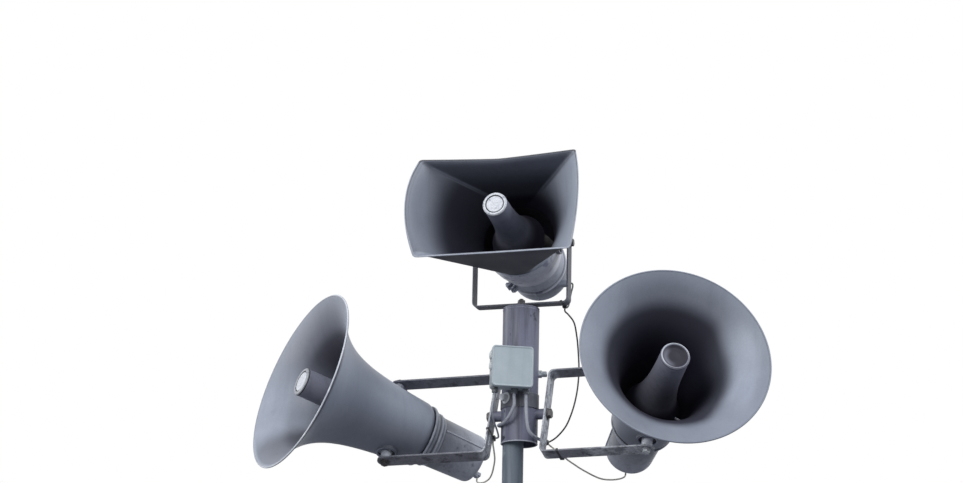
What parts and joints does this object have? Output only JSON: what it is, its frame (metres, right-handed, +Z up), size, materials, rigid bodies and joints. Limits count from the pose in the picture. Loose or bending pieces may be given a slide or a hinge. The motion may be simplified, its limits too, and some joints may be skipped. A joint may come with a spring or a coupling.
{
  "type": "siren horn mast",
  "caption": "Siren mast: slim pipe with a clamped head sleeve that carries a rectangular horn and round re-entrant horns on steel U-brackets, with a junction box.",
  "frame": {"origin": "middle of the base plate's underside, on the mast pipe's axis", "axes": "+Z up the mast; the bolt that holds the two side brackets runs along X; the top horn faces -Y"},
  "size_m": [1.3276, 0.5762, 3.1886],
  "materials": {
    "horn_paint": "sprayed slate paint, satin, weathered",
    "driver_paint": "sprayed slate paint, satin, weathered",
    "pipe_paint": "painted steel pipe, satin",
    "sleeve_paint": "dark painted steel tube, streaked",
    "strap_paint": "dark painted flat steel, paint rubbed through to zinc near the bolts",
    "galvanised": "galvanised steel, dull",
    "bolt_steel": "dark oiled steel",
    "box_shell": "pale grey moulded plastic",
    "lead_jacket": "grey cable sheath",
    "tie_plastic": "black plastic, of the ties and the top horn's lead"
  },
  "bodies": {
    "mast": {"base_plate": "galvanised", "base_gussets": "galvanised", "mast_pipe": "pipe_paint", "head_sleeve": "sleeve_paint", "sleeve_cap": "sleeve_paint", "pipe_set_bolt": "galvanised", "bracket_bolt": "bolt_steel", "bolt_spacers": "sleeve_paint", "box_band": "galvanised", "junction_box": "box_shell", "box_lid": "box_shell", "cable_glands": "box_shell", "top_stud": "bolt_steel", "lead_trunk": "lead_jacket", "lead_splitter": "tie_plastic", "lead_top": "tie_plastic", "lead_right": "lead_jacket", "lead_left": "lead_jacket", "lead_feed": "lead_jacket"},
    "top_bracket": {"top_bracket": "strap_paint", "top_tie": "tie_plastic", "lead_top_tail": "tie_plastic"},
    "top_horn": {"top_flare": "horn_paint", "top_housing": "horn_paint", "top_reflector": "horn_paint", "top_driver": "driver_paint", "top_clamp_band": "strap_paint", "top_pivot_bolts": "bolt_steel"},
    "left_bracket": {"left_bracket": "strap_paint", "left_tie": "tie_plastic", "lead_left_tail": "lead_jacket"},
    "left_horn": {"left_bell": "horn_paint", "left_back_ring": "horn_paint", "left_reflector": "horn_paint", "left_driver": "driver_paint", "left_pivot_bolts": "bolt_steel"},
    "right_bracket": {"right_bracket": "strap_paint", "right_tie": "tie_plastic", "lead_right_tail": "lead_jacket"},
    "right_horn": {"right_bell": "horn_paint", "right_back_ring": "horn_paint", "right_reflector": "horn_paint", "right_driver": "driver_paint", "right_pivot_bolts": "bolt_steel"}
  },
  "joints": [
    {"name": "top_pan", "type": "hinge", "parent": "mast", "child": "top_bracket", "pos_m": [0.01545, 0, 2.872], "axis": [0, 0, 1], "range_deg": [-25, 30]},
    {"name": "top_tilt", "type": "hinge", "parent": "top_bracket", "child": "top_horn", "pos_m": [0.01545, 0, 3.026], "axis": [-0.9986, -0.0523, 0], "range_deg": [-8, 25]},
    {"name": "left_lean", "type": "hinge", "parent": "mast", "child": "left_bracket", "pos_m": [-0.05155, 0, 2.6], "axis": [-1, 0, 0], "range_deg": [-25, 10]},
    {"name": "left_turn", "type": "hinge", "parent": "left_bracket", "child": "left_horn", "pos_m": [-0.31355, 0, 2.6], "axis": [0, 0.3746, 0.9272], "range_deg": [-30, 18]},
    {"name": "right_lean", "type": "hinge", "parent": "mast", "child": "right_bracket", "pos_m": [0.08245, 0, 2.6], "axis": [-1, 0, 0], "range_deg": [-25, 10]},
    {"name": "right_turn", "type": "hinge", "parent": "right_bracket", "child": "right_horn", "pos_m": [0.34445, 0, 2.6], "axis": [0, -0.3007, -0.9537], "range_deg": [-24, 20]}
  ]
}
